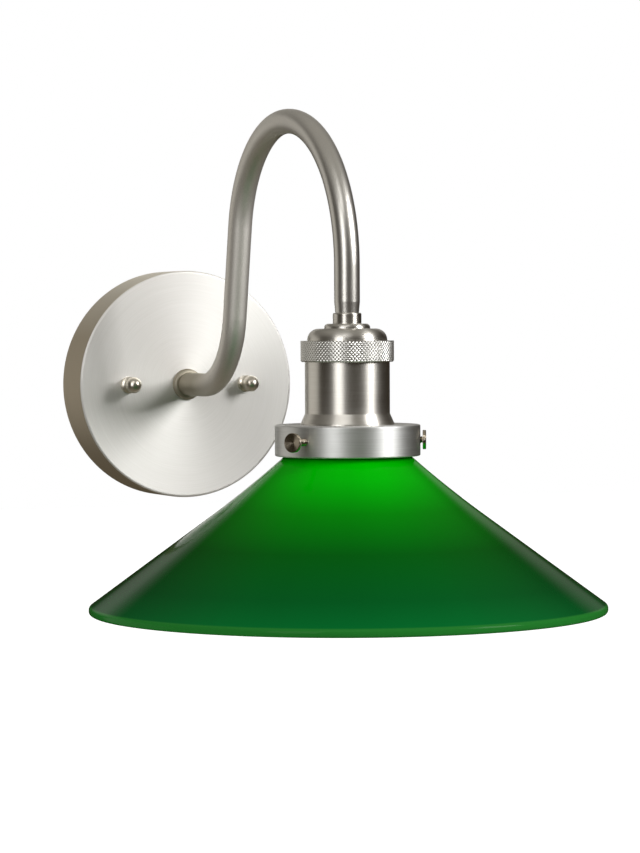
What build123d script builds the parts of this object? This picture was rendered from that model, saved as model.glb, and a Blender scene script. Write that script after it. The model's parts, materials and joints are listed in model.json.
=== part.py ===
from build123d import *
import os
from math import cos, radians, sin

# Gooseneck wall sconce with a cone shade. Millimetres.
# The wall is the plane y = 0 and the room is on the -Y side. +Z is up. The origin is on the wall,
# at the centre of the canopy. The arm lies in the plane x = 0.

# ---- driving dimensions ----------------------------------------------------------------------

CANOPY_R = 57.15            # 4.5 in canopy
CANOPY_DEPTH = 25.4
CANOPY_WALL = 1.0
CANOPY_EDGE_R = 1.3
STUD_X = 31.7               # the two studs stand 63.4 apart
STUD_R = 2.05
TIP_CHAMFER = 0.4           # on the tips of studs and thumbscrews

BAR_LENGTH = 108.0
BAR_WIDTH = 17.0
BAR_THICK = 1.6
BAR_OFFSET = 3.2            # the raised middle clears the heads of the studs
BAR_STEP_X = 36.4           # where the raised middle ends
BOX_SCREW_X = 44.45         # half of the 3.5 in spacing of a wall box's screws
SLOT_LENGTH = 10.0
SLOT_R = 2.3
GROUND_X = 17.0
GROUND_SCREW_R = 1.9

TUBE_R = 5.75
TUBE_WALL = 0.75
REACH = 219.3               # wall to socket axis
FOOT_BEND_R = 39.7
RISE_ANGLE = 80.5           # the rise leans out by 9.5 degrees
RISE_LENGTH = 45.0
CROWN_R = 56.0              # back half of the hook
DROP_R = 68.0               # front half of the hook

NIPPLE_R = 4.8              # 1/8 in lamp pipe
NIPPLE_BORE_R = 3.3
THREAD_GAP = 0.05           # radial room in a threaded or push fit
HOLE_GAP = 0.2              # radial room in a plain hole

TUBE_END_Z = 34.9           # heights of the socket stack, top to bottom
COUPLING_BOTTOM_Z = 30.1
CAP_TOP_Z = 27.9
RING_TOP_Z = 22.5
RING_BOTTOM_Z = 13.1
SHELL_TOP_Z = 19.7
FLARE_Z = -9.9
HOLDER_TOP_Z = -14.9
HOLDER_BOTTOM_Z = -28.8

COUPLING_R = 6.4
COUPLING_ROUND = 0.7
CAP_WASHER_R = 10.3
CAP_WASHER_ROUND = 1.9
CAP_R = 17.9
CAP_WALL = 1.2
RING_R = 20.9
SHELL_R = 18.95
SHELL_WALL = 1.1
SKIRT_R = 20.9
BODY_R = 17.7               # insulating socket body
NECK_R = 15.9
BODY_BORE_R = 13.95

HOLDER_R = 32.5
HOLDER_WALL = 2.9
HOLDER_PLATE = 1.8

LIP_R = 28.6                # 2-1/4 in fitter neck
GROOVE_R = 23.1
GLASS_NECK_BORE_R = 20.7
GLASS_TOP_Z = -17.1
SHADE_R = 115.8
SHADE_RIM_TOP_Z = -95.5
SHADE_RIM_BOTTOM_Z = -99.8
CONE_TOP = (28.8, -29.4)     # just under the holder
CONE_STRAIGHT = (60.0, -54.6)   # from here out the cone is straight

SCREW_Z = -21.7
SCREW_R = 1.65
SCREW_LENGTH = 10.2
SCREW_HEAD_R = 4.3
SCREW_HEAD_THICK = 1.5
SCREW_TIGHT_GAP = 0.2       # tip to glass when the screw is home

BULB_CAP_R = 13.2           # E26 screw cap
BULB_CAP_BOTTOM_Z = -23.0
BULB_TIP_Z = 4.0
BULB_R = 24.0
BULB_BOTTOM_Z = -85.0

# ---- frames ----------------------------------------------------------------------------------

WALL = Plane(origin=(0, 0, 0), x_dir=(1, 0, 0), z_dir=(0, -1, 0))
ARM_SIDE = Plane(origin=(0, 0, 0), x_dir=(0, -1, 0), z_dir=(-1, 0, 0))
SOCKET_SECTION = Plane(origin=(0, -REACH, 0), x_dir=(1, 0, 0), z_dir=(0, -1, 0))
SOCKET_AXIS = Axis((0, -REACH, 0), (0, 0, 1))


def level(height):
    """Horizontal plane on the socket axis, facing up."""
    return Plane(origin=(0, -REACH, height), x_dir=(1, 0, 0), z_dir=(0, 0, 1))


os.makedirs("parts", exist_ok=True)
made = []


def keep(piece, name):
    """Label a finished piece and write its file."""
    piece.part.label = name
    export_step(piece.part, f"parts/{name}.step")
    made.append(name)


# ---- canopy and what holds it to the wall ------------------------------------------------------

FACE_Y = -CANOPY_DEPTH
INNER_FACE_Y = FACE_Y + CANOPY_WALL

# A spun dish, open at the wall, with a hole for the arm's nipple and two for the studs.
with BuildPart() as canopy:
    with BuildSketch(Plane.XY):
        with BuildLine():
            Polyline(
                (NIPPLE_R + HOLE_GAP, FACE_Y),
                (CANOPY_R, FACE_Y),
                (CANOPY_R, 0),
                (CANOPY_R - CANOPY_WALL, 0),
                (CANOPY_R - CANOPY_WALL, INNER_FACE_Y),
                (NIPPLE_R + HOLE_GAP, INNER_FACE_Y),
                close=True,
            )
        make_face()
    revolve(axis=Axis.Y)
    front_edges = canopy.edges().group_by(Axis.Y)[0]
    fillet(front_edges.sort_by(SortBy.LENGTH)[-1], radius=CANOPY_EDGE_R)
    inner_edges = canopy.edges().filter_by_position(Axis.Y, INNER_FACE_Y - 0.01, INNER_FACE_Y + 0.01)
    fillet(inner_edges.sort_by(SortBy.LENGTH)[-1], radius=CANOPY_EDGE_R / 2)
    with BuildSketch(WALL.offset(CANOPY_DEPTH)):
        with Locations((-STUD_X, 0), (STUD_X, 0)):
            Circle(STUD_R + HOLE_GAP)
    extrude(amount=-2 * CANOPY_WALL, mode=Mode.SUBTRACT)
keep(canopy, "canopy")

# A pressed strap: its ends lie on the wall box and its middle stands off it.
STRAP_CORNER_R = 4.0
STEP_RUN = 2.4              # length of each sloping step along the strap
STEP_LEAN = 0.7             # how far the outer face's bends lie beyond the inner face's
with BuildPart() as mounting_crossbar:
    with BuildSketch(Plane.XY):
        with BuildLine():
            Polyline(
                (0, -BAR_OFFSET),
                (BAR_STEP_X, -BAR_OFFSET),
                (BAR_STEP_X + STEP_RUN, 0),
                (BAR_LENGTH / 2, 0),
                (BAR_LENGTH / 2, -BAR_THICK),
                (BAR_STEP_X + STEP_RUN + STEP_LEAN, -BAR_THICK),
                (BAR_STEP_X + STEP_LEAN, -BAR_OFFSET - BAR_THICK),
                (0, -BAR_OFFSET - BAR_THICK),
            )
            mirror(about=Plane.YZ)
        make_face()
    extrude(amount=BAR_WIDTH / 2, both=True)
    end_corners = mounting_crossbar.edges().filter_by(Axis.Y)
    fillet(end_corners, radius=STRAP_CORNER_R)
    with BuildSketch(WALL):
        with Locations((-BOX_SCREW_X, 0), (BOX_SCREW_X, 0)):
            SlotOverall(SLOT_LENGTH, 2 * SLOT_R)
    extrude(amount=BAR_THICK, mode=Mode.SUBTRACT)
    with BuildSketch(WALL):
        with Locations((-STUD_X, 0), (STUD_X, 0)):
            Circle(STUD_R + THREAD_GAP)
        with Locations((GROUND_X, 0)):
            Circle(GROUND_SCREW_R + THREAD_GAP)
        Circle(NIPPLE_R + THREAD_GAP)
    extrude(amount=BAR_OFFSET + BAR_THICK, mode=Mode.SUBTRACT)
keep(mounting_crossbar, "mounting_crossbar")

# Two pan-head screws stand out of the strap and pass through the canopy.
STUD_TIP = 31.6             # from the wall
STUD_HEAD_R = 3.6
STUD_HEAD_ROUND = 1.2
STUD_HEAD_TOP = 0.5         # from the wall
with BuildPart() as canopy_studs:
    with BuildSketch(WALL.offset(STUD_HEAD_TOP)):
        with Locations((-STUD_X, 0), (STUD_X, 0)):
            Circle(STUD_HEAD_R)
    extrude(amount=BAR_OFFSET - STUD_HEAD_TOP)
    head_rims = canopy_studs.edges().filter_by(GeomType.CIRCLE).group_by(Axis.Y)[-1]
    fillet(head_rims, radius=STUD_HEAD_ROUND)
    with BuildSketch(WALL.offset(BAR_OFFSET)):
        with Locations((-STUD_X, 0), (STUD_X, 0)):
            Circle(STUD_R)
    extrude(amount=STUD_TIP - BAR_OFFSET)
    chamfer(canopy_studs.edges().group_by(Axis.Y)[0], length=TIP_CHAMFER)
keep(canopy_studs, "canopy_studs")

BAR_FRONT = BAR_OFFSET + BAR_THICK
JAM_NUT_FLAT_R = 4.35       # half the width across flats
JAM_NUT_THICK = 2.8
with BuildPart() as stud_jam_nuts:
    with BuildSketch(WALL.offset(BAR_FRONT)):
        with Locations((-STUD_X, 0), (STUD_X, 0)):
            RegularPolygon(JAM_NUT_FLAT_R, 6, major_radius=False)
            Circle(STUD_R + THREAD_GAP, mode=Mode.SUBTRACT)
    extrude(amount=JAM_NUT_THICK)
keep(stud_jam_nuts, "stud_jam_nuts")

GROUND_WASHER_R = 5.2
GROUND_WASHER_THICK = 0.8
with BuildPart() as ground_cup_washer:
    with BuildSketch(WALL.offset(BAR_FRONT)):
        with Locations((GROUND_X, 0)):
            Circle(GROUND_WASHER_R)
            Circle(GROUND_SCREW_R + HOLE_GAP, mode=Mode.SUBTRACT)
    extrude(amount=GROUND_WASHER_THICK)
keep(ground_cup_washer, "ground_cup_washer")

# Hexagon head with a slot, and a shank that ends just behind the strap.
GROUND_HEAD_FLAT_R = 3.9
GROUND_HEAD_THICK = 2.4
GROUND_SLOT_WIDTH = 1.1
GROUND_SLOT_DEPTH = 1.0
GROUND_SHANK_TIP = 1.8      # from the wall
with BuildPart() as ground_screw:
    with BuildSketch(WALL.offset(BAR_FRONT + GROUND_WASHER_THICK)):
        with Locations((GROUND_X, 0)):
            RegularPolygon(GROUND_HEAD_FLAT_R, 6, major_radius=False)
    extrude(amount=GROUND_HEAD_THICK)
    with BuildSketch(WALL.offset(BAR_FRONT + GROUND_WASHER_THICK + GROUND_HEAD_THICK)):
        with Locations((GROUND_X, 0)):
            Rectangle(3 * GROUND_HEAD_FLAT_R, GROUND_SLOT_WIDTH)
    extrude(amount=-GROUND_SLOT_DEPTH, mode=Mode.SUBTRACT)
    with BuildSketch(WALL.offset(GROUND_SHANK_TIP)):
        with Locations((GROUND_X, 0)):
            Circle(GROUND_SCREW_R)
    extrude(amount=BAR_FRONT + GROUND_WASHER_THICK - GROUND_SHANK_TIP)
keep(ground_screw, "ground_screw")

# Ball nuts: a turned foot, a waist and a ball, with a blind threaded hole from behind.
NUT_FOOT_R = 4.15
NUT_FOOT_THICK = 2.6
NUT_FOOT_CHAMFER = 0.6
NUT_WAIST_R = 3.3
NUT_BALL_R = 4.05
NUT_BALL_CENTRE = 7.8       # from the canopy's face
NUT_HOLE_DEPTH = 7.4
for side, stud_x in (("left", -STUD_X), ("right", STUD_X)):
    nut_section = Plane(origin=(stud_x, 0, 0), x_dir=(1, 0, 0), z_dir=(0, 0, 1))
    nut_axis = Axis((stud_x, 0, 0), (0, 1, 0))
    with BuildPart() as ball_nut:
        with BuildSketch(nut_section):
            with BuildLine():
                Polyline(
                    (0, FACE_Y),
                    (NUT_FOOT_R, FACE_Y),
                    (NUT_FOOT_R, FACE_Y - NUT_FOOT_THICK),
                    (NUT_WAIST_R, FACE_Y - NUT_FOOT_THICK - NUT_FOOT_CHAMFER),
                    (NUT_WAIST_R, FACE_Y - NUT_BALL_CENTRE),
                    (0, FACE_Y - NUT_BALL_CENTRE),
                    close=True,
                )
            make_face()
        revolve(axis=nut_axis)
        with Locations((stud_x, FACE_Y - NUT_BALL_CENTRE, 0)):
            Sphere(NUT_BALL_R)
        with BuildSketch(WALL.offset(CANOPY_DEPTH)):
            with Locations((stud_x, 0)):
                Circle(STUD_R + THREAD_GAP)
        extrude(amount=NUT_HOLE_DEPTH, mode=Mode.SUBTRACT)
    keep(ball_nut, f"ball_nut_{side}")

# ---- arm ---------------------------------------------------------------------------------------

# The arm leaves the canopy square, bends up, leans a little out, and hooks over to point straight
# down. Its path is straight runs and tangent arcs, and its end tapers in to the coupling.
FOOT_END = REACH - DROP_R - (CROWN_R + FOOT_BEND_R) * sin(radians(RISE_ANGLE)) \
    - RISE_LENGTH * cos(radians(RISE_ANGLE))

NOSE_TAPER = 0.45
NOSE_LENGTH = 5.0
with BuildLine(ARM_SIDE) as arm_line:
    foot = Line((CANOPY_DEPTH, 0), (FOOT_END, 0))
    foot_bend = JernArc(foot @ 1, foot % 1, FOOT_BEND_R, RISE_ANGLE)
    rise = Line(foot_bend @ 1, foot_bend @ 1 + (foot_bend % 1) * RISE_LENGTH)
    crown = JernArc(rise @ 1, rise % 1, CROWN_R, -RISE_ANGLE)
    drop = JernArc(crown @ 1, crown % 1, DROP_R, -90)
    Line(drop @ 1, (REACH, TUBE_END_Z))

with BuildPart() as arm_tube:
    with BuildSketch(WALL.offset(CANOPY_DEPTH)):
        Circle(TUBE_R)
        Circle(TUBE_R - TUBE_WALL, mode=Mode.SUBTRACT)
    sweep(path=arm_line.wires()[0])
    nose = arm_tube.faces().sort_by_distance((0, -REACH, TUBE_END_Z))[0]
    chamfer(nose.outer_wire().edges(), length=NOSE_TAPER, length2=NOSE_LENGTH, reference=nose)
keep(arm_tube, "arm_tube")

# Threaded pipe in the arm's foot: it passes through the canopy, where a lock washer and nut hold it.
NIPPLE_IN = 11.5            # how far its two ends stand from the wall
NIPPLE_OUT = 40.0
with BuildPart() as arm_nipple:
    with BuildSketch(WALL.offset(NIPPLE_IN)):
        Circle(NIPPLE_R)
        Circle(NIPPLE_BORE_R, mode=Mode.SUBTRACT)
    extrude(amount=NIPPLE_OUT - NIPPLE_IN)
keep(arm_nipple, "arm_nipple")

LOCK_WASHER_R = 8.6
LOCK_WASHER_THICK = 1.0
with BuildPart() as nipple_lock_washer:
    with BuildSketch(WALL.offset(CANOPY_DEPTH - CANOPY_WALL)):
        Circle(LOCK_WASHER_R)
        Circle(NIPPLE_R + 2 * THREAD_GAP, mode=Mode.SUBTRACT)
        with PolarLocations(LOCK_WASHER_R, 10):
            Rectangle(1.8, 1.0, mode=Mode.SUBTRACT)
    extrude(amount=-LOCK_WASHER_THICK)
keep(nipple_lock_washer, "nipple_lock_washer")

LOCK_NUT_FLAT_R = 7.2
LOCK_NUT_THICK = 3.6
with BuildPart() as nipple_lock_nut:
    with BuildSketch(WALL.offset(CANOPY_DEPTH - CANOPY_WALL - LOCK_WASHER_THICK)):
        RegularPolygon(LOCK_NUT_FLAT_R, 6, major_radius=False)
        Circle(NIPPLE_R + THREAD_GAP, mode=Mode.SUBTRACT)
    extrude(amount=-LOCK_NUT_THICK)
keep(nipple_lock_nut, "nipple_lock_nut")

# Rounded ring that covers the joint between arm and canopy.
COLLAR_R = 7.8
COLLAR_THICK = 2.6
COLLAR_ROUND = 1.7
with BuildPart() as base_collar:
    with BuildSketch(WALL.offset(CANOPY_DEPTH)):
        Circle(COLLAR_R)
        Circle(TUBE_R + THREAD_GAP, mode=Mode.SUBTRACT)
    extrude(amount=COLLAR_THICK)
    fillet(base_collar.edges().group_by(Axis.Y)[0].sort_by(SortBy.LENGTH)[-1], radius=COLLAR_ROUND)
keep(base_collar, "base_collar")

# ---- socket stack ------------------------------------------------------------------------------

# Threaded pipe that joins the arm's end, the coupling, the washer and the cap.
SOCKET_NIPPLE_BOTTOM_Z = 20.5
SOCKET_NIPPLE_LENGTH = 30.0
with BuildPart() as socket_nipple:
    with BuildSketch(level(SOCKET_NIPPLE_BOTTOM_Z)):
        Circle(NIPPLE_R)
        Circle(NIPPLE_BORE_R, mode=Mode.SUBTRACT)
    extrude(amount=SOCKET_NIPPLE_LENGTH)
keep(socket_nipple, "socket_nipple")

with BuildPart() as arm_coupling:
    with BuildSketch(level(COUPLING_BOTTOM_Z)):
        Circle(COUPLING_R)
        Circle(NIPPLE_R + THREAD_GAP, mode=Mode.SUBTRACT)
    extrude(amount=TUBE_END_Z - COUPLING_BOTTOM_Z)
    fillet(arm_coupling.edges().group_by(Axis.Z)[-1].sort_by(SortBy.LENGTH)[-1], radius=COUPLING_ROUND)
keep(arm_coupling, "arm_coupling")

with BuildPart() as cap_washer:
    with BuildSketch(level(CAP_TOP_Z)):
        Circle(CAP_WASHER_R)
        Circle(NIPPLE_R + THREAD_GAP, mode=Mode.SUBTRACT)
    extrude(amount=COUPLING_BOTTOM_Z - CAP_TOP_Z)
    fillet(cap_washer.edges().group_by(Axis.Z)[-1].sort_by(SortBy.LENGTH)[-1], radius=CAP_WASHER_ROUND)
keep(cap_washer, "cap_washer")

# Spun cap: flat on top, a full round shoulder, a small flange for the ring, and a spigot.
FLANGE_TOP_Z = 20.5
SPIGOT_R = 17.7
SPIGOT_BOTTOM_Z = 16.5
SHOULDER_R = 5.2
FLANGE_R = SHELL_R - 0.15
with BuildPart() as socket_cap:
    with BuildSketch(SOCKET_SECTION):
        with BuildLine():
            Polyline(
                (NIPPLE_R + THREAD_GAP, CAP_TOP_Z),
                (CAP_R - SHOULDER_R, CAP_TOP_Z),
            )
            RadiusArc(
                (CAP_R - SHOULDER_R, CAP_TOP_Z),
                (CAP_R, CAP_TOP_Z - SHOULDER_R),
                SHOULDER_R,
            )
            Polyline(
                (CAP_R, CAP_TOP_Z - SHOULDER_R),
                (CAP_R, FLANGE_TOP_Z),
                (FLANGE_R, FLANGE_TOP_Z),
                (FLANGE_R, SHELL_TOP_Z),
                (SPIGOT_R, SHELL_TOP_Z),
                (SPIGOT_R, SPIGOT_BOTTOM_Z),
                (SPIGOT_R - CAP_WALL, SPIGOT_BOTTOM_Z),
                (SPIGOT_R - CAP_WALL, CAP_TOP_Z - SHOULDER_R),
            )
            RadiusArc(
                (SPIGOT_R - CAP_WALL, CAP_TOP_Z - SHOULDER_R),
                (CAP_R - SHOULDER_R, CAP_TOP_Z - CAP_WALL),
                -(SHOULDER_R - CAP_WALL),
            )
            Polyline(
                (CAP_R - SHOULDER_R, CAP_TOP_Z - CAP_WALL),
                (NIPPLE_R + THREAD_GAP, CAP_TOP_Z - CAP_WALL),
                (NIPPLE_R + THREAD_GAP, CAP_TOP_Z),
            )
        make_face()
    revolve(axis=SOCKET_AXIS)
keep(socket_cap, "socket_cap")

CAP_NUT_FLAT_R = 7.0
CAP_NUT_THICK = 3.2
with BuildPart() as cap_lock_nut:
    with BuildSketch(level(CAP_TOP_Z - CAP_WALL)):
        RegularPolygon(CAP_NUT_FLAT_R, 6, major_radius=False)
        Circle(NIPPLE_R + THREAD_GAP, mode=Mode.SUBTRACT)
    extrude(amount=-CAP_NUT_THICK)
keep(cap_lock_nut, "cap_lock_nut")

# Plastic grommet, pushed into the nipple's lower end, that keeps leads off its edge.
BUSHING_FLANGE_R = 5.9
BUSHING_FLANGE_THICK = 2.2
BUSHING_SPIGOT_LENGTH = 3.0
BUSHING_BORE_R = 2.4
with BuildPart() as insulating_bushing:
    with BuildSketch(level(SOCKET_NIPPLE_BOTTOM_Z)):
        Circle(BUSHING_FLANGE_R)
        Circle(BUSHING_BORE_R, mode=Mode.SUBTRACT)
    extrude(amount=-BUSHING_FLANGE_THICK)
    with BuildSketch(level(SOCKET_NIPPLE_BOTTOM_Z)):
        Circle(NIPPLE_BORE_R - THREAD_GAP)
        Circle(BUSHING_BORE_R, mode=Mode.SUBTRACT)
    extrude(amount=BUSHING_SPIGOT_LENGTH)
keep(insulating_bushing, "insulating_bushing")

# The ring screws onto the shell's top and its lip pulls the cap's flange down.
RING_BORE_R = SHELL_R + 0.06
RING_LIP_R = CAP_R + 0.08
RING_FOOT_CHAMFER = 0.6
RING_TOP_CHAMFER = 0.25
with BuildPart() as knurled_ring:
    with BuildSketch(SOCKET_SECTION):
        with BuildLine():
            Polyline(
                (RING_BORE_R, RING_BOTTOM_Z),
                (RING_R - RING_FOOT_CHAMFER, RING_BOTTOM_Z),
                (RING_R, RING_BOTTOM_Z + RING_FOOT_CHAMFER),
                (RING_R, RING_TOP_Z - RING_TOP_CHAMFER),
                (RING_R - RING_TOP_CHAMFER, RING_TOP_Z),
                (RING_LIP_R, RING_TOP_Z),
                (RING_LIP_R, FLANGE_TOP_Z + THREAD_GAP),
                (RING_BORE_R, FLANGE_TOP_Z + THREAD_GAP),
                close=True,
            )
        make_face()
    revolve(axis=SOCKET_AXIS)
keep(knurled_ring, "knurled_ring")

# Drawn shell: straight, then a flared skirt that stands on the shade holder. An inner ledge
# carries the insulating body.
LEDGE_R = 16.1
LEDGE_TOP_Z = -9.0
LEDGE_THICK = 1.2
SKIRT_HEM = 0.6             # the skirt's last stretch is upright
with BuildPart() as socket_shell:
    with BuildSketch(SOCKET_SECTION):
        with BuildLine():
            Polyline(
                (SHELL_R, SHELL_TOP_Z),
                (SHELL_R, FLARE_Z),
                (SKIRT_R, HOLDER_TOP_Z + SKIRT_HEM),
                (SKIRT_R, HOLDER_TOP_Z),
                (SKIRT_R - SHELL_WALL, HOLDER_TOP_Z),
                (SHELL_R - SHELL_WALL, FLARE_Z - SHELL_WALL),
                (LEDGE_R, LEDGE_TOP_Z - LEDGE_THICK),
                (LEDGE_R, LEDGE_TOP_Z),
                (SHELL_R - SHELL_WALL, LEDGE_TOP_Z),
                (SHELL_R - SHELL_WALL, SHELL_TOP_Z),
                close=True,
            )
        make_face()
    revolve(axis=SOCKET_AXIS)
keep(socket_shell, "socket_shell")

# Moulded insulating body: a terminal cup on top, a bore for the screw shell, and a neck that
# passes through the shade holder.
BODY_TOP_Z = 16.4
BODY_FLOOR_TOP_Z = 11.0
BODY_FLOOR_Z = 5.6
BODY_BOTTOM_Z = -24.5
SCREW_SHELL_TOP_Z = 1.6
CONTACT_POCKET_R = 9.0
CUP_WALL = 2.6
TERMINAL_X = 9.0
TERMINAL_HOLE_R = 1.6
RIVET_R = 1.5
with BuildPart() as socket_body:
    with BuildSketch(SOCKET_SECTION):
        with BuildLine():
            Polyline(
                (0, BODY_FLOOR_TOP_Z),
                (BODY_R - CUP_WALL, BODY_FLOOR_TOP_Z),
                (BODY_R - CUP_WALL, BODY_TOP_Z),
                (BODY_R, BODY_TOP_Z),
                (BODY_R, LEDGE_TOP_Z),
                (NECK_R, LEDGE_TOP_Z),
                (NECK_R, BODY_BOTTOM_Z),
                (BODY_BORE_R, BODY_BOTTOM_Z),
                (BODY_BORE_R, SCREW_SHELL_TOP_Z),
                (CONTACT_POCKET_R, SCREW_SHELL_TOP_Z),
                (CONTACT_POCKET_R, BODY_FLOOR_Z),
                (0, BODY_FLOOR_Z),
                close=True,
            )
        make_face()
    revolve(axis=SOCKET_AXIS)
    with BuildSketch(level(BODY_FLOOR_TOP_Z)):
        with Locations((0, TERMINAL_X), (0, -TERMINAL_X)):
            Circle(TERMINAL_HOLE_R)
        Circle(RIVET_R)
    extrude(amount=BODY_FLOOR_Z - BODY_FLOOR_TOP_Z, mode=Mode.SUBTRACT)
keep(socket_body, "socket_body")

SCREW_SHELL_BOTTOM_Z = -23.5
SCREW_SHELL_WALL = 0.45
SCREW_SHELL_BORE_R = BODY_BORE_R - THREAD_GAP - SCREW_SHELL_WALL
with BuildPart() as screw_shell:
    with BuildSketch(SOCKET_SECTION):
        with BuildLine():
            Polyline(
                (BODY_BORE_R - THREAD_GAP, SCREW_SHELL_TOP_Z),
                (BODY_BORE_R - THREAD_GAP, SCREW_SHELL_BOTTOM_Z),
                (SCREW_SHELL_BORE_R, SCREW_SHELL_BOTTOM_Z),
                (SCREW_SHELL_BORE_R, SCREW_SHELL_TOP_Z - SCREW_SHELL_WALL),
                (CONTACT_POCKET_R + 1, SCREW_SHELL_TOP_Z - SCREW_SHELL_WALL),
                (CONTACT_POCKET_R + 1, SCREW_SHELL_TOP_Z),
                close=True,
            )
        make_face()
    revolve(axis=SOCKET_AXIS)
keep(screw_shell, "screw_shell")

# Springy brass leaf with a domed button, held by a rivet through the body's floor.
LEAF_LENGTH = 13.0
LEAF_WIDTH = 6.0
LEAF_THICK = 0.5
BUTTON_R = 2.8
BUTTON_BOTTOM_Z = BULB_TIP_Z + 0.1
RIVET_HEAD_R = 2.6
RIVET_HEAD_THICK = 0.8
with BuildPart() as centre_contact:
    with BuildSketch(level(BODY_FLOOR_Z)):
        SlotOverall(LEAF_LENGTH, LEAF_WIDTH)
    extrude(amount=-LEAF_THICK)
    with BuildSketch(level(BODY_FLOOR_Z - LEAF_THICK)):
        Circle(BUTTON_R)
    extrude(amount=BUTTON_BOTTOM_Z - BODY_FLOOR_Z + LEAF_THICK)
    with BuildSketch(level(BODY_FLOOR_Z)):
        Circle(RIVET_R - THREAD_GAP)
    extrude(amount=BODY_FLOOR_TOP_Z - BODY_FLOOR_Z)
    with BuildSketch(level(BODY_FLOOR_TOP_Z)):
        Circle(RIVET_HEAD_R)
    extrude(amount=RIVET_HEAD_THICK)
keep(centre_contact, "centre_contact")

# Two binding screws, each on its plate in the terminal cup.
TERMINAL_PLATE_LENGTH = 9.0
TERMINAL_PLATE_WIDTH = 7.4
TERMINAL_PLATE_THICK = 0.8
TERMINAL_HEAD_R = 3.2
TERMINAL_HEAD_THICK = 2.1
TERMINAL_SLOT = 0.9
TERMINAL_TOP_Z = BODY_FLOOR_TOP_Z + TERMINAL_PLATE_THICK + TERMINAL_HEAD_THICK
with BuildPart() as terminal_screws:
    with BuildSketch(level(BODY_FLOOR_TOP_Z)):
        with Locations((-TERMINAL_X, 0), (TERMINAL_X, 0)):
            RectangleRounded(TERMINAL_PLATE_WIDTH, TERMINAL_PLATE_LENGTH, 1.2)
    extrude(amount=TERMINAL_PLATE_THICK)
    with BuildSketch(level(TERMINAL_TOP_Z)):
        with Locations((-TERMINAL_X, 0), (TERMINAL_X, 0)):
            Circle(TERMINAL_HEAD_R)
    extrude(amount=-TERMINAL_HEAD_THICK)
    with BuildSketch(level(TERMINAL_TOP_Z)):
        with Locations((-TERMINAL_X, 0), (TERMINAL_X, 0)):
            Rectangle(TERMINAL_SLOT, 3 * TERMINAL_HEAD_R)
    extrude(amount=-TERMINAL_SLOT, mode=Mode.SUBTRACT)
keep(terminal_screws, "terminal_screws")

# ---- shade holder, thumbscrews and glass -------------------------------------------------------

SCREW_ANGLES = {"left": -60, "right": 63, "back": 183}   # from straight out of the wall, towards +X


def screw_plane(angle):
    """Plane on the socket axis at the screws' height, facing outwards along one screw."""
    outwards = (sin(radians(angle)), -cos(radians(angle)), 0)
    return Plane(origin=(0, -REACH, SCREW_Z), x_dir=(0, 0, 1), z_dir=outwards)


# A turned cup, upside down, with a hole for the socket's neck and three threaded holes.
HOLDER_BORE_R = NECK_R + 0.1
HOLDER_ROUND = 0.7
with BuildPart() as shade_holder:
    with BuildSketch(SOCKET_SECTION):
        with BuildLine():
            Polyline(
                (HOLDER_BORE_R, HOLDER_TOP_Z),
                (HOLDER_R, HOLDER_TOP_Z),
                (HOLDER_R, HOLDER_BOTTOM_Z),
                (HOLDER_R - HOLDER_WALL, HOLDER_BOTTOM_Z),
                (HOLDER_R - HOLDER_WALL, HOLDER_TOP_Z - HOLDER_PLATE),
                (HOLDER_BORE_R, HOLDER_TOP_Z - HOLDER_PLATE),
                close=True,
            )
        make_face()
    revolve(axis=SOCKET_AXIS)
    top_rim = shade_holder.edges().group_by(Axis.Z)[-1].sort_by(SortBy.LENGTH)[-1]
    bottom_rim = shade_holder.edges().group_by(Axis.Z)[0].sort_by(SortBy.LENGTH)[-1]
    fillet([top_rim, bottom_rim], radius=HOLDER_ROUND)
    for angle in SCREW_ANGLES.values():
        with BuildSketch(screw_plane(angle).offset(HOLDER_R + 1)):
            Circle(SCREW_R + THREAD_GAP)
        extrude(amount=-2 * HOLDER_WALL, mode=Mode.SUBTRACT)
keep(shade_holder, "shade_holder")

# Ring nut on the socket's neck, with notches for a spanner, that pulls the holder up to the skirt.
RETAINER_R = 20.0
RETAINER_THICK = 2.7
RETAINER_NOTCH = 2.4
with BuildPart() as retaining_ring:
    with BuildSketch(level(HOLDER_TOP_Z - HOLDER_PLATE)):
        Circle(RETAINER_R)
        Circle(NECK_R + THREAD_GAP, mode=Mode.SUBTRACT)
        with PolarLocations(RETAINER_R, 8):
            Rectangle(RETAINER_NOTCH, RETAINER_NOTCH, mode=Mode.SUBTRACT)
    extrude(amount=-RETAINER_THICK)
keep(retaining_ring, "retaining_ring")

# Each thumbscrew: a thin dished head on a plain shank. The left one stands backed out.
SCREW_HOME = GROOVE_R + SCREW_TIGHT_GAP       # radius of the tip when the screw is home
SCREW_BACKED_OUT = {"left": 6.9, "right": 0, "back": 0}
DISH_DEPTH = 1.0
DISH_RIM = 0.45
DISH_CENTRE_R = 0.5
for side, angle in SCREW_ANGLES.items():
    tip = SCREW_HOME + SCREW_BACKED_OUT[side]
    shank_foot = screw_plane(angle).offset(tip)
    head_face = screw_plane(angle).offset(tip + SCREW_LENGTH + SCREW_HEAD_THICK)
    with BuildPart() as thumbscrew:
        with BuildSketch(shank_foot):
            Circle(SCREW_R)
        extrude(amount=SCREW_LENGTH + SCREW_HEAD_THICK)
        tip_rim = thumbscrew.edges().filter_by(GeomType.CIRCLE).sort_by_distance(shank_foot.origin)[0]
        chamfer(tip_rim, length=TIP_CHAMFER)
        with BuildSketch(head_face):
            Circle(SCREW_HEAD_R)
        extrude(amount=-SCREW_HEAD_THICK)
        with BuildSketch(head_face):
            Circle(SCREW_HEAD_R - DISH_RIM)
        with BuildSketch(head_face.offset(-DISH_DEPTH)):
            Circle(DISH_CENTRE_R)
        loft(mode=Mode.SUBTRACT)
    keep(thumbscrew, f"thumbscrew_{side}")

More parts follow.
